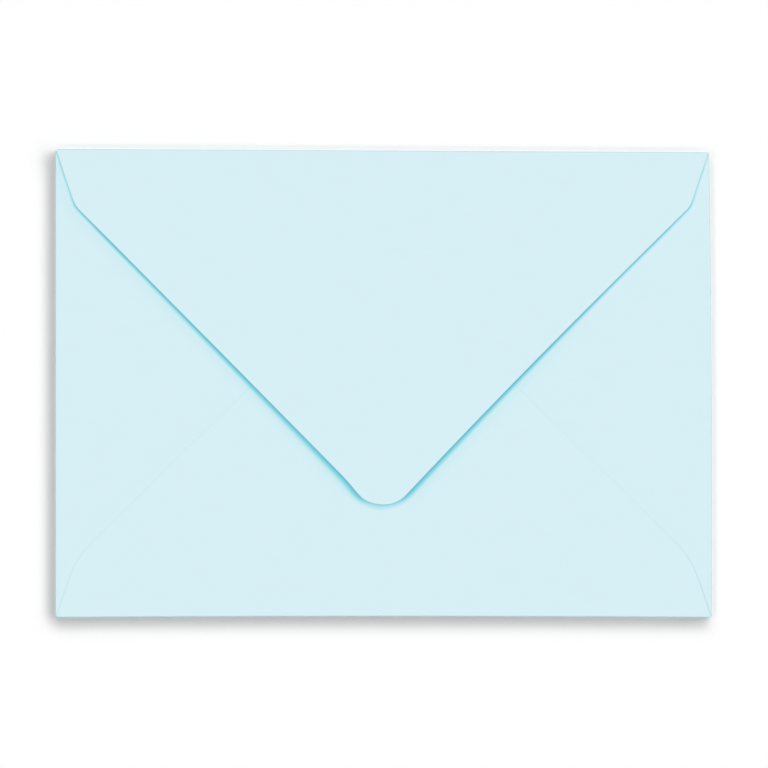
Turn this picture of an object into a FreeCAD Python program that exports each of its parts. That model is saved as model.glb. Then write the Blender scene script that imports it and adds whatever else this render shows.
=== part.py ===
import FreeCAD
import Part
import math
import os

# A closed paper envelope, lying face down with its V flap on top. It is one die-cut sheet:
# a back panel, two side flaps folded in, a bottom flap folded up and glued over them, and
# a deep V flap folded down over the rest.
# The frame is in millimetres with +Z up. The origin is on the table under the middle of
# the envelope, +X runs along its long side and +Y towards the V flap's crease.

# Driving dimensions of the finished envelope
FINISHED_WIDTH = 176.0
FINISHED_HEIGHT = 125.0
PAPER = 0.15
POCKET_GAP = 0.8  # inside the pocket, between the back panel and the side flaps
V_FLAP_CLEARANCE = 0.15  # between the bottom flap and the V flap, at the V flap's crease
V_TIP_LIFT = 0.4  # the V flap springs up this much from its crease to its tip
CORNER_RELIEF = 0.3  # the other three creases stop this short of the panel's corners

# The V flap's cut edge: a steep start at each corner, a rounded shoulder, a straight
# diagonal and a rounded tip
V_TIP_TO_BOTTOM = 30.2  # from its tip to the envelope's bottom edge
V_SHOULDER_IN = 5.4
V_SHOULDER_DOWN = 14.8
V_SHOULDER_RADIUS = 7.5
V_TIP_RADIUS = 8.3

# The bottom flap's cut edge
BOTTOM_TIP_TO_TOP = 31.7  # from its tip to the envelope's top edge
BOTTOM_SHOULDER_IN = 5.7
BOTTOM_SHOULDER_UP = 15.8
BOTTOM_SHOULDER_RADIUS = 10.0
BOTTOM_TIP_RADIUS = 8.3

# The side flaps' cut edges
SIDE_TIPS_APART = 36.4
SIDE_SHOULDER_IN = 4.8
SIDE_SHOULDER_ACROSS = 14.6
SIDE_SHOULDER_RADIUS = 9.0
SIDE_TIP_RADIUS = 8.3

# Each crease is a half-round bend whose inside spans the layers that it wraps.
SIDE_CREASE_GAP = POCKET_GAP
BOTTOM_CREASE_GAP = SIDE_CREASE_GAP + PAPER
V_CREASE_GAP = BOTTOM_CREASE_GAP + PAPER + V_FLAP_CLEARANCE

OVERRUN = 1.0  # how far a strip of bent sheet and its cutter run past the finished outline


def bulge(crease_gap):
    """How far a crease stands out past the edge of the back panel."""
    return crease_gap / 2 + PAPER


PANEL_WIDTH = FINISHED_WIDTH - 2 * bulge(SIDE_CREASE_GAP)
PANEL_HEIGHT = FINISHED_HEIGHT - bulge(BOTTOM_CREASE_GAP) - bulge(V_CREASE_GAP)
PANEL_LEFT = -PANEL_WIDTH / 2
PANEL_BOTTOM = -FINISHED_HEIGHT / 2 + bulge(BOTTOM_CREASE_GAP)


def point(across, inward, up=0.0):
    """A point of a flap's own frame: along its crease, in over the panel, and up."""
    return FreeCAD.Vector(across, inward, up)


def line(start, end):
    return Part.LineSegment(start, end).toShape()


def arc(start, middle, end):
    return Part.Arc(start, middle, end).toShape()


def rounded_corner(before, corner, after, radius):
    """Start, middle and end of the arc that rounds a corner between two straight edges."""
    back = (before - corner).normalize()
    onward = (after - corner).normalize()
    half_angle = back.getAngle(onward) / 2
    trim = radius / math.tan(half_angle)
    inside = (back + onward).normalize()
    centre = corner + inside * (radius / math.sin(half_angle))
    return corner + back * trim, centre - inside * radius, corner + onward * trim


def left_touch(start, centre, radius):
    """Where a straight edge from start touches the left side of a flap's round tip."""
    to_centre = centre - start
    direction = math.atan2(to_centre.y, to_centre.x) + math.asin(radius / to_centre.Length)
    length = math.sqrt(to_centre.Length**2 - radius**2)
    return start + point(math.cos(direction), math.sin(direction)) * length


def cut_outline(half_crease, crease_bulge, shoulder, shoulder_radius, tip, tip_radius):
    """The closed outline of a flap, seen from above once it is folded over the panel."""
    outside = point(-half_crease, -crease_bulge - OVERRUN)
    root = point(-half_crease, 0)
    touch = left_touch(shoulder, tip - point(0, tip_radius), tip_radius)
    bend_in, bend_middle, bend_out = rounded_corner(root, shoulder, touch, shoulder_radius)
    left_side = [
        line(outside, root),
        line(root, bend_in),
        arc(bend_in, bend_middle, bend_out),
        line(bend_out, touch),
    ]
    right_side = [edge.mirror(point(0, 0), point(1, 0)) for edge in left_side]
    tip_edge = arc(touch, tip, point(-touch.x, touch.y))
    base = line(outside, point(half_crease, outside.y))
    return Part.Wire(Part.__sortEdges__([base, tip_edge] + left_side + right_side))


def side_view(crease_gap, tip_reach, lift, depth):
    """One face of the sheet in side view, this depth into the sheet from the inside of the
    bend: a half-round bend, then a leaf that is level or curves up by lift at its tip."""
    bend_radius = crease_gap / 2 + depth
    bend_height = PAPER + crease_gap / 2
    leaf_start = point(0, 0, bend_height + bend_radius)
    bend = arc(
        point(0, 0, bend_height - bend_radius),
        point(0, -bend_radius, bend_height),
        leaf_start,
    )
    if lift == 0:
        return [bend, line(leaf_start, leaf_start + point(0, tip_reach + OVERRUN))]
    leaf_radius = (tip_reach**2 + lift**2) / (2 * lift) - depth
    turn = (tip_reach + OVERRUN) / leaf_radius

    def along(angle):
        rise = leaf_radius * (1 - math.cos(angle))
        return leaf_start + point(0, leaf_radius * math.sin(angle), rise)

    return [bend, arc(leaf_start, along(turn / 2), along(turn))]


def bent_section(crease_gap, tip_reach, lift):
    """The sheet cut square to a crease, from the back panel's edge to past the tip."""
    inside = side_view(crease_gap, tip_reach, lift, 0.0)
    outside = side_view(crease_gap, tip_reach, lift, PAPER)
    ends = [
        line(near.Vertexes[end].Point, far.Vertexes[end].Point)
        for near, far, end in ((inside[0], outside[0], 0), (inside[1], outside[1], 1))
    ]
    return Part.Face(Part.Wire(Part.__sortEdges__(inside + outside + ends)))


def flap(crease_length, end_bulge, crease_gap, depth, shoulder_in, shoulder_off,
         shoulder_radius, tip_radius, panel_length, lift=0.0):
    """A folded flap in its own frame, with its crease along X and its leaf towards +Y.

    depth, shoulder_in and shoulder_off are measured from the finished envelope's edges,
    and end_bulge is how far the creases at the panel's two ends stand out."""
    crease_bulge = bulge(crease_gap)
    half_crease = crease_length / 2
    tip = point(0, depth - crease_bulge)
    shoulder = point(
        shoulder_in - panel_length / 2 - end_bulge, shoulder_off - crease_bulge
    )
    outline = cut_outline(
        half_crease, crease_bulge, shoulder, shoulder_radius, tip, tip_radius
    )
    section = bent_section(crease_gap, tip.y, lift)
    section.translate(point(-half_crease - OVERRUN, 0))
    strip = section.extrude(point(2 * (half_crease + OVERRUN), 0))
    top = crease_gap + 2 * PAPER + lift
    cutter = Part.Face(outline).extrude(point(0, 0, top + 2 * OVERRUN))
    cutter.translate(point(0, 0, -OVERRUN))
    return strip.common(cutter)


def v_flap():
    shape = flap(
        PANEL_WIDTH, bulge(SIDE_CREASE_GAP), V_CREASE_GAP,
        FINISHED_HEIGHT - V_TIP_TO_BOTTOM, V_SHOULDER_IN, V_SHOULDER_DOWN,
        V_SHOULDER_RADIUS, V_TIP_RADIUS, PANEL_WIDTH, V_TIP_LIFT,
    )
    return placed(shape, 180, 0, PANEL_BOTTOM + PANEL_HEIGHT)


def bottom_flap():
    shape = flap(
        PANEL_WIDTH - 2 * CORNER_RELIEF, bulge(SIDE_CREASE_GAP), BOTTOM_CREASE_GAP,
        FINISHED_HEIGHT - BOTTOM_TIP_TO_TOP, BOTTOM_SHOULDER_IN, BOTTOM_SHOULDER_UP,
        BOTTOM_SHOULDER_RADIUS, BOTTOM_TIP_RADIUS, PANEL_WIDTH,
    )
    return placed(shape, 0, 0, PANEL_BOTTOM)


def placed(shape, turn, x, y):
    """Turns a flap about +Z and sets its crease on an edge of the back panel."""
    shape.rotate(point(0, 0), point(0, 0, 1), turn)
    shape.translate(point(x, y))
    return shape


def side_flap(turn, x):
    shape = flap(
        PANEL_HEIGHT - 2 * CORNER_RELIEF, 0.0, SIDE_CREASE_GAP,
        (FINISHED_WIDTH - SIDE_TIPS_APART) / 2, SIDE_SHOULDER_IN, SIDE_SHOULDER_ACROSS,
        SIDE_SHOULDER_RADIUS, SIDE_TIP_RADIUS, PANEL_HEIGHT,
    )
    return placed(shape, turn, x, PANEL_BOTTOM + PANEL_HEIGHT / 2)


def envelope_sheet():
    """The whole sheet. The bottom flap lies on the side flaps, and where they overlap the
    glued seam makes them one."""
    back_panel = Part.makeBox(
        PANEL_WIDTH, PANEL_HEIGHT, PAPER, point(PANEL_LEFT, PANEL_BOTTOM)
    )
    flaps = [
        side_flap(-90, PANEL_LEFT),
        side_flap(90, -PANEL_LEFT),
        bottom_flap(),
        v_flap(),
    ]
    return back_panel.fuse(flaps).removeSplitter().Solids[0]


def main():
    os.makedirs("parts", exist_ok=True)
    sheet = envelope_sheet()
    box = sheet.BoundBox
    print(f"envelope_sheet: {box.XLength:.2f} x {box.YLength:.2f} x {box.ZLength:.2f} mm")
    print(f"blank area {sheet.Volume / PAPER / 100:.1f} cm2, valid {sheet.isValid()}")
    sheet.exportStep("parts/envelope_sheet.step")


main()
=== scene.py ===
# %% [markdown]
# # A closed paper envelope, lying face down
#
# The object is a single sheet of pale blue paper: a back panel, two side flaps folded in,
# a bottom flap folded up and glued over them, and a deep V flap folded down on top. The
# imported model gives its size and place. This lesson models the same sheet again as a fine
# mesh, so that it can have pressed creases, a little life in its flatness and good shading,
# and then gives it paper, a floor, light and a camera.

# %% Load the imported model
import math

import bmesh
import bpy
import numpy as np
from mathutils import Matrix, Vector, noise


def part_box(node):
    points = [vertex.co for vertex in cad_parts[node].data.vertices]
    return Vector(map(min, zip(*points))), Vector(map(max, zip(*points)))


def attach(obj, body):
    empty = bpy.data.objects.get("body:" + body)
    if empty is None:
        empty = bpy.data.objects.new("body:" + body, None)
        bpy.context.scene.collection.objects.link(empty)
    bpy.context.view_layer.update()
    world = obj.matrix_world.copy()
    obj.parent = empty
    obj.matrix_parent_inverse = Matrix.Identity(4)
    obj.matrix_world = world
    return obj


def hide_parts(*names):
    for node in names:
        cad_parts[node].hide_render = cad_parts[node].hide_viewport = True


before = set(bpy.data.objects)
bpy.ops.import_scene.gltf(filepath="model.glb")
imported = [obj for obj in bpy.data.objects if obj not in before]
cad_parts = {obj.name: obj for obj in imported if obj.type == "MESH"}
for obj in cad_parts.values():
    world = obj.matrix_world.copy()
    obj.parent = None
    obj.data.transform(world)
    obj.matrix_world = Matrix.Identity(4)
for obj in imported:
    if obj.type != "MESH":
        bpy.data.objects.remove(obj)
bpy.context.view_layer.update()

low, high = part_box("envelope_sheet")
print("envelope box in mm:", [round((b - a) * 1000, 2) for a, b in zip(low, high)])

# %% [markdown]
# ## Sizes
#
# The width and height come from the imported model's box, so the mesh always fits it. The
# rest are sizes of the folded sheet in millimetres. They could be measured from the packed
# mesh, but plain numbers are easier to read and to try out. Each crease spans the layers
# that it wraps, so the gap inside it grows from the side flaps to the V flap.

# %% Sizes in millimetres
MM = 0.001  # one millimetre, in Blender's metres
WIDTH = (high[0] - low[0]) / MM
HEIGHT = (high[1] - low[1]) / MM
PAPER = 0.15  # the sheet's thickness
POCKET_GAP = 0.8  # inside the pocket
V_CLEARANCE = 0.15  # under the V flap, at its crease
CORNER_RELIEF = 0.3  # from the panel's corner to where a crease begins

SIDE_GAP = POCKET_GAP
BOTTOM_GAP = SIDE_GAP + PAPER
V_GAP = BOTTOM_GAP + PAPER + V_CLEARANCE


def bulge(gap):
    """How far a crease stands out past the edge of the back panel."""
    return gap / 2 + PAPER


PANEL_WIDTH = WIDTH - 2 * bulge(SIDE_GAP)
PANEL_HEIGHT = HEIGHT - bulge(BOTTOM_GAP) - bulge(V_GAP)
PANEL_BOTTOM = -HEIGHT / 2 + bulge(BOTTOM_GAP)
PANEL_TOP = PANEL_BOTTOM + PANEL_HEIGHT
print("back panel:", round(PANEL_WIDTH, 2), "x", round(PANEL_HEIGHT, 2), "mm")

# %% [markdown]
# ## The outline of a flap
#
# Each flap leaves its corner steeply, turns at a rounded shoulder, runs straight and ends
# in a round tip. A curve object could draw this, but a few lines of trigonometry give the
# exact points, and the two straight parts are true tangents of the arcs, as they are on
# the cutting die. Paper seldom keeps its edges quite straight, so a second helper can bow
# the long part.

# %% Points along one side of a flap
STEEP_ROWS, SHOULDER_ROWS, LONG_ROWS = 10, 12, 56


def unit(v):
    """The same direction, one long."""
    return v / np.linalg.norm(v)


def side_curve(root, shoulder, shoulder_radius, tip_centre, tip_radius):
    """Points from a flap's root to where its side touches the round tip."""
    to_tip = tip_centre - shoulder
    reach = np.linalg.norm(to_tip)
    heading = math.atan2(to_tip[1], to_tip[0]) + math.asin(tip_radius / reach)
    along = np.array([math.cos(heading), math.sin(heading)])
    touch = shoulder + along * math.sqrt(reach**2 - tip_radius**2)
    back = unit(root - shoulder)
    half = math.acos(np.dot(back, along)) / 2
    trim = shoulder_radius / math.tan(half)
    start, end = shoulder + back * trim, shoulder + along * trim
    centre = shoulder + unit(back + along) * shoulder_radius / math.sin(half)
    first = math.atan2(*(start - centre)[::-1])
    last = math.atan2(*(end - centre)[::-1])
    last += 2 * math.pi * round((first - last) / (2 * math.pi))
    angles = np.linspace(first, last, SHOULDER_ROWS + 1)
    bend = centre + shoulder_radius * np.stack([np.cos(angles), np.sin(angles)], axis=1)
    steep = root + np.linspace(0, 1, STEEP_ROWS + 1)[:-1, None] * (start - root)
    long = end + np.linspace(0, 1, LONG_ROWS + 1)[1:, None] * (touch - end)
    return np.concatenate([steep, bend, long])


def bowed(side, bow):
    """The same points with the long part drawn in by bow at its middle."""
    start, touch = side[STEEP_ROWS + SHOULDER_ROWS], side[-1]
    along = unit(touch - start)
    s = np.clip((side[:, 1] - start[1]) / (touch[1] - start[1]), 0, 1)[:, None]
    return side + 4 * bow * s * (1 - s) * np.array([along[1], -along[0]])


print("steps along a flap's side:", STEEP_ROWS + SHOULDER_ROWS + LONG_ROWS)

# %% [markdown]
# ## Filling a flap with an even grid
#
# A flap has four sides: the crease, two cut sides and the round tip. A Coons patch blends
# a grid between four such curves. A grid fill or a triangulated outline would also close
# the shape, but the patch gives clean rows and columns that follow the cut edge, so the
# paper shades evenly up to the rim.

# %% The grid of a leaf
ACROSS_LONG, ACROSS_SHORT = 96, 64


def leaf_grid(columns, left_side, right_side, tip_centre, tip_radius):
    """Rows and columns of points between the crease, the two sides and the round tip."""
    u = np.linspace(0, 1, columns + 1)[None, :, None]
    v = (left_side[:, 1] / left_side[-1, 1])[:, None, None]
    left = left_side[:, None, :]
    right = right_side[:, None, :] * [-1, 1]
    touch = left_side[-1]
    spread = math.atan2(-touch[0], touch[1] - tip_centre[1])
    turn = np.linspace(-spread, spread, columns + 1)
    arc = tip_centre + tip_radius * np.stack([np.sin(turn), np.cos(turn)], axis=1)
    chord = touch * (1 - u[0]) + touch * [-1, 1] * u[0]
    return left * (1 - u) + right * u + v * (arc - chord)[None]


print("columns across a flap:", ACROSS_LONG, "or, from a short crease,", ACROSS_SHORT)

# %% [markdown]
# ## How the sheet lies
#
# Paper is never quite flat. The pocket stands open by a hair and is a little fuller in
# the middle, every layer follows the same slow waves, and the V flap presses down near
# its crease and springs up towards its tip. Cloth simulation could find such a shape, but
# a stiff sheet hardly moves, so smooth functions of the place on the envelope do it with
# full control. All layers share them, which keeps them apart.

# %% Height functions
PUFF = 0.12
WAVE, WAVE_LENGTH, WAVE_CUT = 0.05, 46.0, 3.7  # height, length, and where the noise is cut
STIFF_BORDER = 14.0  # how far in from a crease the paper stays flat
V_PRESSED, PRESSED_REACH = 0.04, 5.0
V_LIFT = 0.2


def smooth(t):
    """Eases from 0 to 1."""
    t = np.clip(t, 0, 1)
    return t * t * (3 - 2 * t)


def life(x, y):
    """How far the pocket's layers rise above dead flat at a place on the envelope."""
    from_side = PANEL_WIDTH / 2 - np.abs(x)
    from_end = np.minimum(y - PANEL_BOTTOM, PANEL_TOP - y)
    free = smooth(from_side / STIFF_BORDER) * smooth(from_end / STIFF_BORDER)
    dome = (1 - (2 * x / WIDTH) ** 2) * (1 - (2 * y / HEIGHT) ** 2)
    waves = np.vectorize(
        lambda a, b: noise.noise(Vector((a / WAVE_LENGTH, b / WAVE_LENGTH, WAVE_CUT)))
    )(x, y)
    return free * (PUFF * dome + WAVE * (1 + waves))


def v_clearance(inward, depth):
    """The air under the V flap: pressed shut past its crease, open at its tip."""
    near_crease = (V_CLEARANCE - V_PRESSED) * np.exp(-((inward / PRESSED_REACH) ** 2))
    return V_PRESSED + near_crease + V_LIFT * smooth(inward / depth)


print("rise in the middle of the pocket:", round(float(life(0.0, 0.0)), 3), "mm")

# %% [markdown]
# ## Folding a flap
#
# A sheet that is only bent over makes a half-round crease. This one was pressed, so its
# creases are squared: the sine and cosine of the half circle are pushed outwards, which
# makes it a superellipse. A Bevel modifier gives round bends alone, and here one number
# sets how hard the fold was pressed. Towards its ends each crease spreads, and so it meets
# its neighbour in a full corner. Each flap is made in a frame of its own, crease along X
# and leaf towards +Y.

# %% A pressed crease
BEND_STEPS = 14
SQUARED = 3.2  # 2 would be a half circle


def squared(value):
    """Pushes a sine or cosine outwards, which turns a half circle into a pressed fold."""
    return np.sign(value) * np.abs(value) ** (2 / SQUARED)


def bend_radius(gap):
    """The radius of a crease at the middle of the paper, before it is squared."""
    return gap / 2 + PAPER / 2


def crease_grid(panel_length, gap, columns, flare):
    """Rows of points round a crease, from the back panel's edge up to the leaf."""
    turn = np.linspace(0, math.pi, BEND_STEPS + 1)[:-1, None]
    stands_out = bend_radius(gap) * squared(np.sin(turn))
    relieved = CORNER_RELIEF * (1 - np.minimum(np.sin(turn / 2) * math.sqrt(2), 1))
    half = panel_length / 2 - relieved + flare * stands_out
    x = np.linspace(-1, 1, columns + 1)[None, :] * half
    z = PAPER / 2 + bend_radius(gap) * (1 - squared(np.cos(turn)))
    return np.stack([x, 0 * x - stands_out, 0 * x + z], axis=2)


print("a crease stands out in mm:",
      {"side": bulge(SIDE_GAP), "bottom": bulge(BOTTOM_GAP), "V": bulge(V_GAP)})

# %% One folded flap
TIP_RADIUS = 8.3
CORNER_FLARE = 0.33  # how far a crease spreads at its ends, for each millimetre it stands out
OUTLINES = {}


def fold(name, panel_length, gap, depth, shoulder, shoulder_radius, columns,
         flare=CORNER_FLARE, bows=(0.0, 0.0)):
    """The middle surface of a flap: rows of points from the panel's edge to its tip."""
    root = np.array([-panel_length / 2, 0.0])
    corner = np.array([shoulder[0], shoulder[1] - bulge(gap)])
    tip_centre = np.array([0.0, depth - bulge(gap) - TIP_RADIUS])
    side = side_curve(root, corner, shoulder_radius, tip_centre, TIP_RADIUS)
    OUTLINES[name] = (side, tip_centre, TIP_RADIUS)
    left, right = (bowed(side, bow) for bow in bows)
    leaf = leaf_grid(columns, left, right, tip_centre, TIP_RADIUS)
    level = np.full(leaf.shape[:2] + (1,), PAPER / 2 + 2 * bend_radius(gap))
    crease = crease_grid(panel_length, gap, columns, flare)
    return np.concatenate([crease, np.concatenate([leaf, level], axis=2)])


def place(rows, quarter_turns, x, y):
    """Turns a flap by quarter turns about +Z and moves its crease to the panel's edge."""
    for _ in range(quarter_turns):
        rows = np.stack([-rows[..., 1], rows[..., 0], rows[..., 2]], axis=2)
    return rows + [x, y, 0]


print("radius of the flaps' tips:", TIP_RADIUS, "mm")

# %% [markdown]
# ## The four flaps
#
# The V flap is the only one whose cut edge is seen whole. Its shoulders are tight, its tip
# stops well above the bottom crease, and its long edges are bowed by a fraction of a
# millimetre. The bottom flap shows two slanting edges below it, and the side flaps only
# their creases. All four come from the same helper with other numbers, which is shorter
# than modelling each and keeps them one family. Sizes are measured from the edges of the
# finished envelope, as they would be with a ruler.

# %% The V flap
V_TIP_TO_BOTTOM = 30.2
V_SHOULDER_IN, V_SHOULDER_DOWN, V_SHOULDER_RADIUS = 5.4, 14.8, 6.0
LEFT_BOW, RIGHT_BOW = 0.1, 0.68

# It will be turned round, so its own left side becomes the envelope's right one
v_depth = HEIGHT - V_TIP_TO_BOTTOM
v_flap = fold(
    "v", PANEL_WIDTH, V_GAP, v_depth, (V_SHOULDER_IN - WIDTH / 2, V_SHOULDER_DOWN),
    V_SHOULDER_RADIUS, ACROSS_LONG, bows=(RIGHT_BOW, LEFT_BOW))
inward = np.maximum(v_flap[BEND_STEPS:, :, 1], 0)
v_flap[BEND_STEPS:, :, 2] += v_clearance(inward, v_depth) - V_CLEARANCE
v_flap = place(v_flap, 2, 0, PANEL_TOP)
print("rows of the V flap:", v_flap.shape[0])

# %% The bottom flap and the two side flaps
BOTTOM_TIP_TO_TOP = 31.7
BOTTOM_SHOULDER_IN, BOTTOM_SHOULDER_UP, BOTTOM_SHOULDER_RADIUS = 5.7, 15.8, 10.0
SIDE_TIPS_APART = 36.4
SIDE_SHOULDER_IN, SIDE_SHOULDER_ACROSS, SIDE_SHOULDER_RADIUS = 4.8, 14.6, 9.0
SIDE_FLARE = 0.9
LAYER_SLACK = 0.02  # keeps the side flaps just clear of the bottom flap

bottom_flap = place(fold(
    "bottom", PANEL_WIDTH, BOTTOM_GAP, HEIGHT - BOTTOM_TIP_TO_TOP,
    (BOTTOM_SHOULDER_IN - WIDTH / 2, BOTTOM_SHOULDER_UP), BOTTOM_SHOULDER_RADIUS,
    ACROSS_LONG), 0, 0, PANEL_BOTTOM)
side_rows = fold(
    "side", PANEL_HEIGHT, SIDE_GAP - LAYER_SLACK, (WIDTH - SIDE_TIPS_APART) / 2,
    (SIDE_SHOULDER_IN - PANEL_HEIGHT / 2, SIDE_SHOULDER_ACROSS), SIDE_SHOULDER_RADIUS,
    ACROSS_SHORT, flare=SIDE_FLARE)
middle_y = (PANEL_BOTTOM + PANEL_TOP) / 2
left_flap = place(side_rows, 3, -PANEL_WIDTH / 2, middle_y)
right_flap = place(side_rows, 1, PANEL_WIDTH / 2, middle_y)

for flap in (v_flap, bottom_flap, left_flap, right_flap):
    leaf = flap[BEND_STEPS:]
    leaf[..., 2] += life(leaf[..., 0], leaf[..., 1])
print("the V flap's tip lies", round(float(v_flap[-1, :, 2].max()), 2), "mm above the table")

# %% [markdown]
# ## The back panel
#
# The back panel is the rectangle that lies on the table, and all four creases start at its
# edges. One big face would do for its shape, but its corners have to meet the creases'
# points one by one. So its grid lines run on from the columns of the flaps.

# %% The back panel's grid


def panel_lines(length, columns, offset):
    """Grid lines across the back panel that meet every column of its flaps."""
    half = length / 2
    inner = np.linspace(-half + CORNER_RELIEF, half - CORNER_RELIEF, columns + 1)
    return np.concatenate([[-half], inner, [half]]) + offset


panel_x, panel_y = np.meshgrid(
    panel_lines(PANEL_WIDTH, ACROSS_LONG, 0),
    panel_lines(PANEL_HEIGHT, ACROSS_SHORT, middle_y),
)
back_panel = np.stack([panel_x, panel_y, np.full(panel_x.shape, PAPER / 2)], axis=2)
print("points of the back panel:", panel_x.size)

# %% [markdown]
# ## One sheet
#
# The five grids share their crease points, so merging points that coincide joins them
# into one sheet without thickness. A bmesh is Blender's own way to build a mesh point by
# point. Grid primitives and a join would also do, but they would need moving afterwards.

# %% Make the sheet
MERGE_WITHIN = 0.002 * MM


def add_grid(bm, points):
    """Adds a grid of quads to the mesh."""
    verts = [[bm.verts.new(Vector(p) * MM) for p in row] for row in points]
    for a, b in zip(verts, verts[1:]):
        for corners in zip(a, a[1:], b[1:], b):
            bm.faces.new(corners)


mesh = bpy.data.meshes.new("paper_envelope")
bm = bmesh.new()
for points in (back_panel, left_flap, right_flap, bottom_flap, v_flap):
    add_grid(bm, points)
bmesh.ops.remove_doubles(bm, verts=bm.verts, dist=MERGE_WITHIN)
bmesh.ops.recalc_face_normals(bm, faces=bm.faces)
bm.to_mesh(mesh)
bm.free()
envelope = bpy.data.objects.new("paper_envelope", mesh)
bpy.context.scene.collection.objects.link(envelope)
print("faces of the sheet:", len(mesh.polygons))

# %% [markdown]
# ## The thickness of the paper
#
# A Solidify modifier gives the sheet its thickness, half to each side, and puts the cut
# edge all round into a second material slot. Extruding by hand would do the same with more
# code. The modifier is then applied, so that what follows can work on the real vertices.
# The paper shades smoothly round its creases, and only its cut edge stays sharp.

# %% Give it thickness and a sharp cut edge
SHARP_ANGLE = math.radians(50)

solidify = envelope.modifiers.new("paper thickness", "SOLIDIFY")
solidify.thickness = PAPER * MM
solidify.offset = 0
solidify.use_even_offset = True
solidify.use_quality_normals = True
solidify.material_offset_rim = 1
bpy.context.view_layer.update()
solid = bpy.data.meshes.new_from_object(
    envelope.evaluated_get(bpy.context.evaluated_depsgraph_get())
)
envelope.modifiers.clear()
envelope.data = solid
solid.name = "paper_envelope"
solid.shade_smooth()
solid.set_sharp_from_angle(angle=SHARP_ANGLE)
print("faces with both sides and the cut edge:", len(solid.polygons))

# %% [markdown]
# ## Slightly out of square
#
# A folded envelope is seldom a true rectangle. This one's top crease falls by almost a
# millimetre from left to right, its right side leans in at the top, its bottom crease
# rises a little in the middle, and the V flap is a touch fuller at the left of its tip. A
# Lattice modifier could do the same, but four short formulas say it exactly. Before the
# move, each vertex keeps its true place in an attribute, so that the shader can still
# follow the cut edges by their plain numbers.

# %% Keep the true place, then move the sides
TOP_TILT = 0.46
RIGHT_LEAN, LEAN_ACROSS, LEAN_UP = 0.8, 8, 3  # the powers keep it in the top right corner
BOTTOM_BOW, BOW_BALANCE = 0.3, 0.75
BORDER = 10.0  # how far in from the top and bottom creases the moves reach
SWELL, SWELL_AT, SWELL_SPREAD = 0.45, (-6.5, -30.1), 3.6

places = np.empty(len(solid.vertices) * 3)
solid.vertices.foreach_get("co", places)
true_place = solid.attributes.new("flat place", "FLOAT_VECTOR", "POINT")
true_place.data.foreach_set("vector", places)
places = places.reshape(-1, 3) / MM
x, y = places[:, 0], places[:, 1]
u, v = 2 * x / WIDTH, 2 * y / HEIGHT
near_top = smooth((y - HEIGHT / 2 + BORDER) / BORDER)
near_bottom = smooth((BORDER - HEIGHT / 2 - y) / BORDER)
from_swell = np.hypot(x - SWELL_AT[0], y - SWELL_AT[1])

moved = places.copy()
moved[:, 0] -= RIGHT_LEAN * ((1 + u) / 2) ** LEAN_ACROSS * ((1 + v) / 2) ** LEAN_UP
moved[:, 1] -= TOP_TILT * u * near_top
moved[:, 1] += BOTTOM_BOW * (BOW_BALANCE - u * u) * near_bottom
moved[:, :2] -= math.sqrt(0.5) * SWELL * np.exp(-(from_swell / SWELL_SPREAD) ** 2)[:, None]
solid.vertices.foreach_set("co", moved.ravel() * MM)
solid.update()
print("largest move in mm:", round(float(np.abs(moved - places).max()), 2))

# %% [markdown]
# ## Small tools for node groups
#
# The paper's finish is worked out by node groups, because every effect below is used with
# other values in more than one place. A group can be built by hand in the shader editor,
# one node at a time. Here each helper adds one node and wires its inputs in one line, which
# keeps each effect as short as its formula.

# %% Make a group and wire it


def new_group(name, inputs, outputs):
    """A shader node group with the given sockets: (name, type, default) and (name, type)."""
    tree = bpy.data.node_groups.new(name, "ShaderNodeTree")
    for label, kind, value in inputs:
        socket = tree.interface.new_socket(label, in_out="INPUT", socket_type=kind)
        socket.default_value = value
    for label, kind in outputs:
        tree.interface.new_socket(label, in_out="OUTPUT", socket_type=kind)
    given = tree.nodes.new("NodeGroupInput").outputs
    return tree, given, tree.nodes.new("NodeGroupOutput").inputs


def plug(tree, socket, value):
    """Wires an output into a socket, or sets the socket to a plain value."""
    if isinstance(value, bpy.types.NodeSocket):
        tree.links.new(value, socket)
    else:
        socket.default_value = value


def use_group(tree, group, **values):
    """Places a group in a tree. Underscores in the names of its inputs stand for spaces."""
    node = tree.nodes.new("ShaderNodeGroup")
    node.node_tree = group
    for label, value in values.items():
        plug(tree, node.inputs[label.replace("_", " ")], value)
    return node.outputs


print("group helpers:", [f.__name__ for f in (new_group, plug, use_group)])

# %% One node in one line


def calc(tree, operation, *values):
    """A Math node with its inputs wired, clamped only if its operation ends with !."""
    node = tree.nodes.new("ShaderNodeMath")
    node.operation = operation.rstrip("!")
    node.use_clamp = operation.endswith("!")
    for socket, value in zip(node.inputs, values):
        plug(tree, socket, value)
    return node.outputs[0]


def product(tree, first, *others):
    """All the values multiplied."""
    for value in others:
        first = calc(tree, "MULTIPLY", first, value)
    return first


def vector_calc(tree, operation, *values):
    """A Vector Math node with its inputs wired. Gives its number where it makes one."""
    node = tree.nodes.new("ShaderNodeVectorMath")
    node.operation = operation
    for socket, value in zip(node.inputs, values):
        plug(tree, socket, value)
    return node.outputs["Value" if operation in ("LENGTH", "DOT_PRODUCT") else "Vector"]


def scaled(tree, vector, factor):
    """A vector or colour times a number."""
    result = vector_calc(tree, "SCALE", vector)
    plug(tree, result.node.inputs["Scale"], factor)
    return result


def turned(tree, vector, angle):
    """A vector turned about Z."""
    node = tree.nodes.new("ShaderNodeVectorRotate")
    node.rotation_type = "Z_AXIS"
    node.inputs["Angle"].default_value = angle
    plug(tree, node.inputs["Vector"], vector)
    return node.outputs["Vector"]


def split(tree, vector):
    """The X, Y and Z of a vector."""
    node = tree.nodes.new("ShaderNodeSeparateXYZ")
    plug(tree, node.inputs["Vector"], vector)
    return node.outputs


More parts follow.
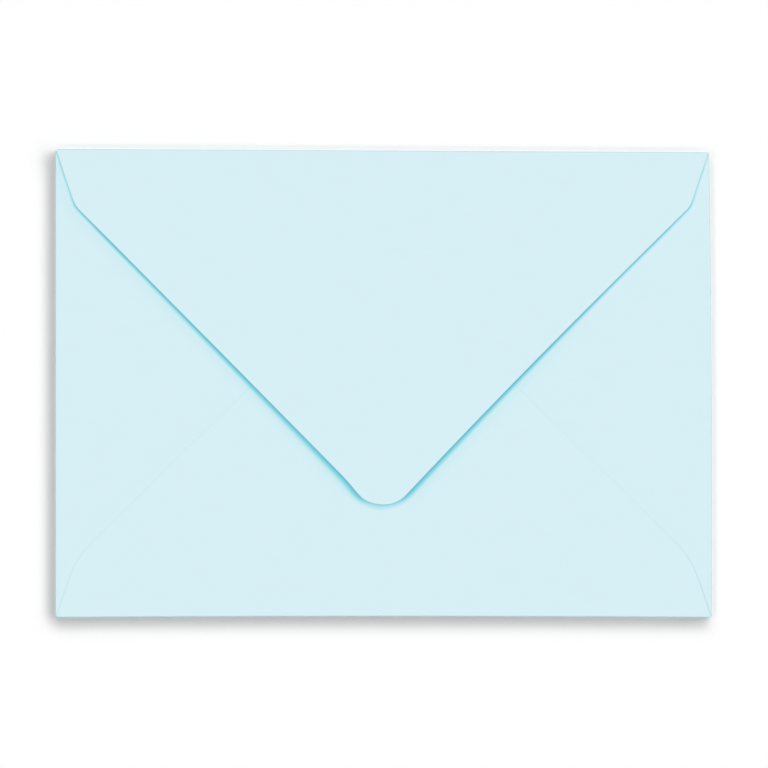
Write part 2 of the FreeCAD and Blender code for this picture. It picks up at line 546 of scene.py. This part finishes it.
def remap(tree, value, low_in, high_in, low_out, high_out, curve="SMOOTHSTEP"):
    """A Map Range node: value from one range to another, eased at both ends."""
    node = tree.nodes.new("ShaderNodeMapRange")
    node.interpolation_type = curve
    for socket, number in zip(node.inputs, (value, low_in, high_in, low_out, high_out)):
        plug(tree, socket, number)
    return node.outputs["Result"]


print("node helpers:", [f.__name__ for f in (
    calc, product, vector_calc, scaled, turned, split, remap)])

# %% [markdown]
# ## How far a point lies past a flap's cut edge
#
# Several effects follow a flap's cut edge: the deep line of painted shade under it, and the
# faint seams of painted shade. The edge could be painted by vertices, but the layer below
# has no vertices along it. So a group measures the distance in the shader: two straight
# lines, joined by a smooth maximum at the shoulder, and a circle for the tip. The numbers
# come from the same side curve as the mesh.

# %% Group: past a flap's edge
NUMBER, VECTOR, COLOR = "NodeSocketFloat", "NodeSocketVector", "NodeSocketColor"

past_edge, given, result = new_group(
    "past a flap's edge",
    [
        ("Across", NUMBER, 0.0),
        ("Inward", NUMBER, 0.0),
        ("Steep Normal", VECTOR, (1, 0, 0)),
        ("Steep Offset", NUMBER, 0.0),
        ("Long Normal", VECTOR, (1, 0, 0)),
        ("Long Offset", NUMBER, 0.0),
        ("Long From", NUMBER, 0.0),
        ("Long To", NUMBER, 1.0),
        ("Bow", NUMBER, 0.0),
        ("Shoulder Blend", NUMBER, 2.0),
        ("Tip Centre", VECTOR, (0, 0, 0)),
        ("Tip Radius", NUMBER, 8.0),
    ],
    [("Distance", NUMBER)],
)


def past_line(tree, spot, normal, offset):
    """How far a spot lies past a straight line, given by its normal and its offset."""
    return calc(tree, "SUBTRACT", vector_calc(tree, "DOT_PRODUCT", spot, normal), offset)


t = past_edge
joined = t.nodes.new("ShaderNodeCombineXYZ")
plug(t, joined.inputs["X"], calc(t, "ABSOLUTE", given["Across"]))
plug(t, joined.inputs["Y"], given["Inward"])
spot = joined.outputs["Vector"]
steep = past_line(t, spot, given["Steep Normal"], given["Steep Offset"])
long = past_line(t, spot, given["Long Normal"], given["Long Offset"])
# The mesh's own bow, 4 s (1 - s), with s counted from 0 to 4 here
s = remap(t, given["Inward"], given["Long From"], given["Long To"], 0.0, 4.0, "LINEAR")
bow = product(t, s, calc(t, "MULTIPLY_ADD", s, -0.25, 1.0), given["Bow"])
long = calc(t, "ADD", long, bow)
sides = calc(t, "SMOOTH_MAX", steep, long, given["Shoulder Blend"])
from_tip = vector_calc(t, "SUBTRACT", spot, given["Tip Centre"])
tip = calc(t, "SUBTRACT", vector_calc(t, "LENGTH", from_tip), given["Tip Radius"])
beyond = vector_calc(t, "DOT_PRODUCT", from_tip, turned(t, given["Long Normal"], math.pi / 2))
round_tip = calc(t, "GREATER_THAN", beyond, 0.0)
plug(t, result["Distance"], remap(t, round_tip, 0, 1, sides, tip, "LINEAR"))
print(past_edge.name, "has", len(t.nodes), "nodes")

# %% The group's numbers for the V flap and the bottom flap


def edge_numbers(side, tip_centre, tip_radius):
    """The group's inputs for a flap, from the points along its left side."""
    right_side = side * [-1, 1]
    root, steep_end = right_side[0], right_side[STEEP_ROWS]
    long_start, touch = right_side[STEEP_ROWS + SHOULDER_ROWS], right_side[-1]
    along_steep, along_long = unit(steep_end - root), unit(touch - long_start)
    steep_normal = np.array([along_steep[1], -along_steep[0]])
    long_normal = np.array([along_long[1], -along_long[0]])
    return {
        "Steep_Normal": (*steep_normal, 0),
        "Steep_Offset": float(steep_normal @ root),
        "Long_Normal": (*long_normal, 0),
        "Long_Offset": float(long_normal @ touch),
        "Long_From": float(long_start[1]),
        "Long_To": float(touch[1]),
        "Tip_Centre": (*tip_centre, 0),
        "Tip_Radius": tip_radius,
    }


V_EDGE = edge_numbers(*OUTLINES["v"])
BOTTOM_EDGE = edge_numbers(*OUTLINES["bottom"])
lean = math.degrees(math.atan2(V_EDGE["Long_Normal"][1], V_EDGE["Long_Normal"][0]))
print("the V flap's long side leans", round(lean, 2), "degrees")

# %% [markdown]
# ## The felt of the paper
#
# Close to, uncoated paper is a felt of short fibres, mostly along one direction, with
# faint clouds where the pulp lies thicker. From arm's length it looks even, so every
# amount here is small. Two stretched noises crossed at a slant give the fibres and a
# broad one the clouds. An image of paper would look richer but would tile and blur.

# %% Group: paper felt
FIBRES = ((0.35, 7.0), (-0.5, 5.0))  # direction in radians, and how far they are drawn out
CLOUDS = (0.1, 1.6)
FIBRE_SHARE, CLOUD_SHARE = 0.6, 0.4
MEAN_FELT = 0.53

felt, given, result = new_group(
    "paper felt",
    [
        ("Position", VECTOR, (0, 0, 0)),
        ("Fibre Size", NUMBER, 0.35),
        ("Cloud Size", NUMBER, 5.0),
        ("Contrast", NUMBER, 0.01),
    ],
    [("Tone", NUMBER), ("Height", NUMBER)],
)


def noise_along(tree, vector, direction, size, detail):
    """Noise of the given grain size in millimetres, drawn out along one direction."""
    angle, stretch = direction
    drawn = vector_calc(tree, "MULTIPLY", turned(tree, vector, angle), (1 / stretch, 1, 1))
    grain = tree.nodes.new("ShaderNodeTexNoise")
    plug(tree, grain.inputs["Vector"], drawn)
    plug(tree, grain.inputs["Scale"], calc(tree, "DIVIDE", 1.0, size))
    grain.inputs["Detail"].default_value = detail
    return grain.outputs["Fac"]


t = felt
spot = given["Position"]
fibres = calc(t, "MAXIMUM", *(
    noise_along(t, spot, direction, given["Fibre Size"], detail=3.0) for direction in FIBRES))
clouds = noise_along(t, spot, CLOUDS, given["Cloud Size"], detail=2.0)
uneven = calc(t, "ADD", product(t, fibres, FIBRE_SHARE), product(t, clouds, CLOUD_SHARE))
centred = calc(t, "SUBTRACT", uneven, MEAN_FELT)
plug(t, result["Tone"], calc(t, "MULTIPLY_ADD", centred, given["Contrast"], 1.0))
plug(t, result["Height"], uneven)
print(felt.name, "has", len(t.nodes), "nodes")

# %% [markdown]
# ## The deep line along a cut edge
#
# Where one layer of tinted paper ends on another, light crosses the dye several times
# before it comes out of the narrow gap, so the shade there is deeper and greener than a
# plain shadow. It widens towards the V flap's free point and hardly shows where a layer is
# glued flat. Real translucency could give it, but it is slow to render and is lost in an
# exported model. So the line is painted shade: one group turns the distance past the edge
# into a depth of painted shade, and a second one turns that depth into a tint by the law of
# absorption.

# %% Group: depth of painted shade along a cut edge
FALL = 2.4  # how sharply the line ends on its outer side
EDGE_AT = -0.01  # a hair inside the edge, so that no bright gap is left there

edge_shade_depth, given, result = new_group(
    "depth of painted shade along a cut edge",
    [
        ("Distance", NUMBER, 0.0),
        ("Width", NUMBER, 0.5),
        ("Strength", NUMBER, 1.0),
        ("Tail Width", NUMBER, 3.5),
        ("Tail Strength", NUMBER, 0.05),
    ],
    [("Depth", NUMBER)],
)


def fading(tree, distance, width, strength):
    """Full strength at the edge, a bell-shaped fall outwards, and 0 inside it."""
    ratio = calc(tree, "POWER", calc(tree, "DIVIDE", distance, width), FALL)
    bell = calc(tree, "EXPONENT", calc(tree, "MULTIPLY", ratio, -1.0))
    outside = calc(tree, "GREATER_THAN", distance, EDGE_AT)
    return product(tree, bell, outside, strength)


t = edge_shade_depth
core, tail = (
    fading(t, given["Distance"], given[part + "Width"], given[part + "Strength"])
    for part in ("", "Tail ")
)
plug(t, result["Depth"], calc(t, "ADD", core, tail))
print(edge_shade_depth.name, "has", len(t.nodes), "nodes")

# %% Group: tint of a depth of painted shade
painted_shade_tint, given, result = new_group(
    "tint of a depth of painted shade",
    [("Depth", NUMBER, 0.0), ("Absorption", VECTOR, (1.0, 0.25, 0.15))],
    [("Tint", COLOR)],
)
t = painted_shade_tint
taken = scaled(t, given["Absorption"], calc(t, "MULTIPLY", given["Depth"], -1.0))
left_over = t.nodes.new("ShaderNodeCombineColor")
for socket, part in zip(left_over.inputs, split(t, taken)):
    plug(t, socket, calc(t, "EXPONENT", part))
plug(t, result["Tint"], left_over.outputs["Color"])
print(painted_shade_tint.name, "has", len(t.nodes), "nodes")

# %% [markdown]
# ## How the line runs along the V flap
#
# The painted shade past the V flap's edge isn't even. It is faint in the corners, has a
# short accent just past each shoulder, and grows deeper and wider on its way down. At the
# round tip it is softer, and a faint painted tint of bounced light lies beside it before
# that. The left edge and the right one differ a little. A painted mask could hold all this,
# but it would need an image. Here each change is a Map Range of the distance down from the
# crease, in millimetres.

# %% The V flap's line
SHARP_BLEND = 1.2  # how far the line rounds off at the shoulder
# GLOW is a faint painted tint of bounced light beside the line, before the tip
FULL_DEPTH, GLOW = 1.36, 0.08
TIP_DEPTH, TIP_WIDTH = 0.43, 0.95
# A narrow grey painted shade where the V flap's edge meets the layer below
CONTACT_WIDTH, CONTACT_STRENGTH = 0.4, 0.16

# From where and to where
CORNER, ACCENT_RISES, ACCENT_FALLS, TIP_SOFTENS = (0, 5), (10, 15), (20, 34), (90.5, 94.6)
WIDENS, WIDTHS = (14, 92), (0.46, 1.18)

# At the left edge and at the right one
SIDE_WIDTHS = (1.13, 0.94)
DEEPENS_FROM, DEEPENS_TO, FIRST_DEPTHS = (8.0, 4.0), (27.0, 45.0), (0.46, 0.38)
CORNER_DEPTHS, ACCENT_DEPTHS, ACCENT_WIDTHS = (0.5, 0.15), (0.15, 0.35), (0.1, 0.22)
GLOWS_FROM, GLOWS_TO = (-1.0, 36.0), (0.0, 58.0)


def v_line_depths(t, x, down, right):
    """The depths of tinted and of grey painted shade past the V flap's edge."""

    def sided(pair):
        return remap(t, right, 0, 1, *pair, "LINEAR")

    distance = use_group(t, past_edge, Across=x, Inward=down, Shoulder_Blend=SHARP_BLEND,
                         Bow=sided((LEFT_BOW, RIGHT_BOW)), **V_EDGE)["Distance"]
    before_tip = remap(t, down, *TIP_SOFTENS, 1.0, 0.0)
    accent = calc(t, "MULTIPLY", remap(t, down, *ACCENT_RISES, 0.0, 1.0),
                  remap(t, down, *ACCENT_FALLS, 1.0, 0.0))
    width = product(
        t, remap(t, down, *WIDENS, *WIDTHS, "LINEAR"), sided(SIDE_WIDTHS),
        calc(t, "MULTIPLY_ADD", accent, sided(ACCENT_WIDTHS), 1.0),
        remap(t, before_tip, 0, 1, TIP_WIDTH, 1.0, "LINEAR"))
    strength = product(
        t, remap(t, down, sided(DEEPENS_FROM), sided(DEEPENS_TO),
                 sided(FIRST_DEPTHS), FULL_DEPTH),
        remap(t, down, *CORNER, sided(CORNER_DEPTHS), 1.0),
        calc(t, "MULTIPLY_ADD", accent, sided(ACCENT_DEPTHS), 1.0),
        remap(t, before_tip, 0, 1, TIP_DEPTH, 1.0, "LINEAR"))
    glow = remap(t, down, sided(GLOWS_FROM), sided(GLOWS_TO), 0.0, GLOW)
    # The line's tinted painted shade, then its grey painted shade at the contact
    dye = use_group(t, edge_shade_depth, Distance=distance, Width=width, Strength=strength,
                    Tail_Strength=calc(t, "MULTIPLY", before_tip, glow))
    contact = use_group(t, edge_shade_depth, Distance=distance, Width=CONTACT_WIDTH,
                        Strength=CONTACT_STRENGTH, Tail_Strength=0.0)
    return dye["Depth"], contact["Depth"]


print("the line is", WIDTHS[0], "mm wide at the shoulders and", WIDTHS[1], "mm at the tip")

# %% [markdown]
# ## The seams, and which layer gets what
#
# The bottom flap is glued flat on the side flaps, so its edges show only as faint seams of
# painted shade, a little darker near the corners. Both lines of painted shade belong on the
# layers under them and not on the V flap's top or on the back panel. A vertex group could
# mark the layers. The height of each point says the same without one: the back panel lies
# lowest and the V flap highest.

# %% The seam's depth, and both lines on their layers
SOFT_BLEND = 4.0
SEAM_WIDTH, SEAM_TAIL = 0.3, 0.01
SEAM_FADES = (6, 24)  # from where and to where, going up
SEAM_DEPTHS, SEAM_FAINT = (0.16, 0.27), 0.055  # at the left and the right, then further up
ABOVE_BACK_PANEL = 0.5
BELOW_V_FLAP = SIDE_GAP + 2 * PAPER + 0.27


def line_depths(t, spot):
    """Depths of tinted and of grey painted shade from the V flap's line and the bottom flap's
    seams.
    """
    x, y, z = split(t, spot)
    down = calc(t, "SUBTRACT", PANEL_TOP, y)
    up = calc(t, "SUBTRACT", y, PANEL_BOTTOM)
    right = calc(t, "GREATER_THAN", x, 0.0)
    v_painted_shade, v_contact = v_line_depths(t, x, down, right)
    past_seam = use_group(t, past_edge, Across=x, Inward=up, Shoulder_Blend=SOFT_BLEND,
                          **BOTTOM_EDGE)["Distance"]
    near_corner = remap(t, right, 0, 1, *SEAM_DEPTHS, "LINEAR")
    strength = remap(t, up, *SEAM_FADES, near_corner, SEAM_FAINT)
    # The seams are thin lines of grey painted shade along the bottom flap's edges
    seam_shade = use_group(t, edge_shade_depth, Distance=past_seam, Width=SEAM_WIDTH,
                     Tail_Strength=SEAM_TAIL, Strength=strength)["Depth"]
    on_top = calc(t, "GREATER_THAN", z, ABOVE_BACK_PANEL)
    on_side_flap = calc(t, "MULTIPLY", on_top, calc(t, "LESS_THAN", z, BELOW_V_FLAP))
    return (calc(t, "MULTIPLY", on_top, v_painted_shade),
            calc(t, "MULTIPLY_ADD", on_top, v_contact, product(t, on_side_flap, seam_shade)))


print("the seams show between", ABOVE_BACK_PANEL, "and", round(BELOW_V_FLAP, 2), "mm up")

# %% [markdown]
# ## The paper itself
#
# The shader stays in the material, and the groups only feed its colour, roughness and
# bump. The colour is the paper's own pale blue, varied by the felt and multiplied by the
# tint of each line of painted shade. A picture of paper could give all this at once, but it
# couldn't follow the folded layers. The same recipe makes the cut edge, a little deeper and
# rougher, and without lines.

# %% Colours as written for a screen


def linear(r, g, b):
    """A colour as written for a screen, 0 to 255, made linear."""
    return tuple(
        c / 12.92 if c <= 0.04045 else ((c + 0.055) / 1.055) ** 2.4
        for c in (r / 255, g / 255, b / 255)
    )


PAPER_BLUE = linear(214, 239, 245)
EDGE_BLUE = linear(190, 228, 240)
# Two painted shades: a deep green-blue one for the V flap's line, and a greyer one for its
# contact and the seams
PAINTED_LINE_SHADE = (1.0, 0.27, 0.19)  # how much red, green and blue it takes away
SHADE = (1.0, 0.63, 0.6)
print("the paper's linear colour:", [round(c, 3) for c in PAPER_BLUE])

# %% The paper and its cut edge
GLOSS = 0.2
ROUGH_FELT, ROUGH_SPREAD = (0.3, 0.8), 0.05
BUMP_STRENGTH, BUMP_DEPTH = 0.25, 0.02 * MM


def paper_material(name, color, roughness, contrast, with_lines):
    """Matt tinted paper with its felt, and with lines of painted shade where it carries them.
    """
    material = bpy.data.materials.new(name)
    material.use_nodes = True
    t = material.node_tree
    shader = t.nodes["Principled BSDF"]
    shader.inputs["Specular IOR Level"].default_value = GLOSS
    place_node = t.nodes.new("ShaderNodeAttribute")
    place_node.attribute_name = "flat place"
    spot = scaled(t, place_node.outputs["Vector"], 1 / MM)
    grain = use_group(t, felt, Position=spot, Contrast=contrast)
    toned = scaled(t, color, grain["Tone"])
    if with_lines:
        # Each line of painted shade darkens the paper's colour
        for depth, absorption in zip(line_depths(t, spot), (PAINTED_LINE_SHADE, SHADE)):
            tint = use_group(t, painted_shade_tint, Depth=depth, Absorption=absorption)["Tint"]
            toned = vector_calc(t, "MULTIPLY", toned, tint)
    plug(t, shader.inputs["Base Color"], toned)
    plug(t, shader.inputs["Roughness"], remap(
        t, grain["Height"], *ROUGH_FELT, roughness - ROUGH_SPREAD, roughness + ROUGH_SPREAD))
    bump = t.nodes.new("ShaderNodeBump")
    bump.inputs["Strength"].default_value = BUMP_STRENGTH
    bump.inputs["Distance"].default_value = BUMP_DEPTH
    plug(t, bump.inputs["Height"], grain["Height"])
    plug(t, shader.inputs["Normal"], bump.outputs["Normal"])
    return material


solid.materials.clear()
solid.materials.append(paper_material(
    "pale blue paper", PAPER_BLUE, roughness=0.85, contrast=0.05, with_lines=True))
solid.materials.append(paper_material(
    "cut paper edge", EDGE_BLUE, roughness=0.92, contrast=0.08, with_lines=False))
print("materials:", [m.name for m in solid.materials])

# %% [markdown]
# ## Floor
#
# The envelope lies on a plain white ground that keeps its shadow. A large plane does, a
# hair below the paper. Its colour is pure white to the camera, so that the background is
# white without more light, but a little less for the light that it throws back, which
# would otherwise brighten the paper's edges. A Light Path node tells the two apart. The
# same helper serves the sky in the next step.

# %% Floor
FLOOR_SIZE = 8.0
FLOOR_DROP = 0.02 * MM
BOUNCED_WHITE = 0.8


def shows_backdrop(tree):
    """1 for a ray that shows the surface, straight, mirrored or through glass, else 0."""
    path = tree.nodes.new("ShaderNodeLightPath").outputs
    seen = calc(tree, "ADD", path["Is Camera Ray"], path["Is Glossy Ray"])
    return calc(tree, "ADD!", seen, path["Is Transmission Ray"])


bpy.ops.mesh.primitive_plane_add(size=FLOOR_SIZE, location=(0, 0, -FLOOR_DROP))
floor = bpy.context.object
floor.name = "studio_floor"
floor_mat = bpy.data.materials.new("white studio floor")
floor_mat.use_nodes = True
t = floor_mat.node_tree
floor_shader = t.nodes["Principled BSDF"]
floor_shader.inputs["Roughness"].default_value = 1.0
floor_shader.inputs["Specular IOR Level"].default_value = 0.0
shade = t.nodes.new("ShaderNodeMix")
shade.data_type = "RGBA"
shade.inputs["A"].default_value = (BOUNCED_WHITE,) * 3 + (1,)
shade.inputs["B"].default_value = (1, 1, 1, 1)
plug(t, shade.inputs["Factor"], shows_backdrop(t))
plug(t, floor_shader.inputs["Base Color"], shade.outputs["Result"])
floor.data.materials.append(floor_mat)
print("floor:", FLOOR_SIZE, "m across")

# %% [markdown]
# ## Sky
#
# An even white sky alone would leave hardly any shadow, and the photograph has a thin, clear
# one. So the sky gives only a tenth of the light. The camera and mirrored rays see it at
# full white, as a backdrop. A studio photograph wrapped round the scene would be the usual
# way, but this lesson uses no images.

# %% Sky
SKY_SHARE = 0.1

world = bpy.data.worlds.new("studio")
bpy.context.scene.world = world
world.use_nodes = True
t = world.node_tree
sky = t.nodes["Background"]
sky.inputs["Color"].default_value = (1, 1, 1, 1)
plug(t, sky.inputs["Strength"],
     remap(t, shows_backdrop(t), 0, 1, SKY_SHARE, 1.0, "LINEAR"))
print("the sky's share of the light:", SKY_SHARE)

# %% [markdown]
# ## Suns for the floor
#
# The shadow round the envelope is thin, soft and longer at the left and below. A ring of
# sixteen low, soft suns makes it, brightest towards the upper right, and five higher ones
# fill it where it would be too dark. An area lamp could cast it too, but its light
# falls off over the floor, and a sun's doesn't. The shares of sky and suns add up to one
# on a level surface, so that colours come out as they are written. Light linking says
# which object a lamp reaches.

# %% A soft sun


def lit_only(name, piece):
    """A collection with one object in it, for a lamp that shall reach nothing else."""
    reached = bpy.data.collections.new(name)
    reached.objects.link(piece)
    return reached


def soft_sun(name, reached, share, elevation, azimuth, angle, blockers=None):
    """A sun that gives its share of the plain light level on a level surface."""
    elevation, azimuth = math.radians(elevation), math.radians(azimuth)
    data = bpy.data.lights.new(name, "SUN")
    data.energy = share * math.pi / math.sin(elevation)
    data.angle = math.radians(angle)
    lamp = bpy.data.objects.new(name, data)
    toward = Vector((
        math.cos(azimuth) * math.cos(elevation),
        math.sin(azimuth) * math.cos(elevation),
        math.sin(elevation),
    ))
    lamp.rotation_mode = "QUATERNION"
    lamp.rotation_quaternion = toward.to_track_quat("Z", "Y")
    bpy.context.scene.collection.objects.link(lamp)
    lamp.light_linking.receiver_collection = reached
    lamp.light_linking.blocker_collection = blockers


print("a lone sun straight above would need strength", round(math.pi, 3))

# %% The ring of low suns and the higher ones
RING = np.arange(0, 360, 22.5)
BRIGHTEST, NARROWING = 45, 3  # the power gathers the ring's light round its brightest side
HIGHER_SUNS = [  # azimuth, elevation and share
    (22, 30, 0.045),
    (115, 30, 0.05),
    (180, 30, 0.065),
    (220, 30, 0.065),
    (270, 40, 0.06),
]

floor_only = lit_only("floor only", floor)
ring_share = 1 - SKY_SHARE - sum(share for _, _, share in HIGHER_SUNS)
weights = [(1 + math.cos(math.radians(a - BRIGHTEST))) ** NARROWING for a in RING]
for azimuth, weight in zip(RING, weights):
    soft_sun(f"low sun at {azimuth}", floor_only, ring_share * weight / sum(weights),
             elevation=15, azimuth=azimuth, angle=13)
for azimuth, elevation, share in HIGHER_SUNS:
    soft_sun(f"higher sun at {azimuth}", floor_only, share, elevation, azimuth, angle=14)
print("share of the brightest low sun:", round(ring_share * max(weights) / sum(weights), 3))

# %% [markdown]
# ## Suns for the paper
#
# On the paper the same low light would draw a grey step along every layer, which the
# photograph doesn't show. So a very broad sun straight above lights the paper. Eight weak
# suns round its sides keep the low edges from going dark when they are seen at a slant.
# Only the floor may block them, so they cast no shadow of one layer on another.

# %% The high sun and the side suns
SIDE_SHARE, SIDE_SUNS = 0.05, 8

paper_only = lit_only("paper only", envelope)
soft_sun("high sun", paper_only, 1 - SKY_SHARE - SIDE_SHARE,
         elevation=90, azimuth=0, angle=80)
for k in range(SIDE_SUNS):
    azimuth = 360 * k / SIDE_SUNS
    soft_sun(f"side sun at {azimuth}", paper_only, SIDE_SHARE / SIDE_SUNS,
             elevation=12, azimuth=azimuth, angle=20, blockers=floor_only)
print("share of the high sun:", round(1 - SKY_SHARE - SIDE_SHARE, 3))

# %% [markdown]
# ## Camera
#
# The photograph looks straight down, and the envelope's sides and ends stay parallel, so a
# long lens does. The camera could be moved until the picture fits. Here its height and its
# place follow from where the envelope's four edges lie in the picture, in pixels.

# %% Camera
IMAGE = 768
PHOTO_LEFT, PHOTO_RIGHT = 55.45, 712.0
PHOTO_TOP, PHOTO_BOTTOM = 150.3, 617.4
LENS, SENSOR = 100.0, 36.0
NEAREST_SEEN = 0.01

metres_per_pixel = WIDTH * MM / (PHOTO_RIGHT - PHOTO_LEFT)
distance = IMAGE * metres_per_pixel * LENS / SENSOR
camera_data = bpy.data.cameras.new("camera")
camera_data.lens = LENS
camera_data.sensor_width = SENSOR
camera_data.clip_start = NEAREST_SEEN
camera = bpy.data.objects.new("camera", camera_data)
camera.location = (
    (IMAGE / 2 - (PHOTO_LEFT + PHOTO_RIGHT) / 2) * metres_per_pixel,
    ((PHOTO_TOP + PHOTO_BOTTOM) / 2 - IMAGE / 2) * metres_per_pixel,
    distance + POCKET_GAP * MM,
)
bpy.context.scene.collection.objects.link(camera)
bpy.context.scene.camera = camera
bpy.context.scene.view_settings.view_transform = "Standard"
print("camera distance:", round(distance, 3), "m")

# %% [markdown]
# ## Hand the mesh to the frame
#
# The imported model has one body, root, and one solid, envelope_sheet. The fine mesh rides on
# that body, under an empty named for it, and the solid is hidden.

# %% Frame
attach(envelope, "root")
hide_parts("envelope_sheet")
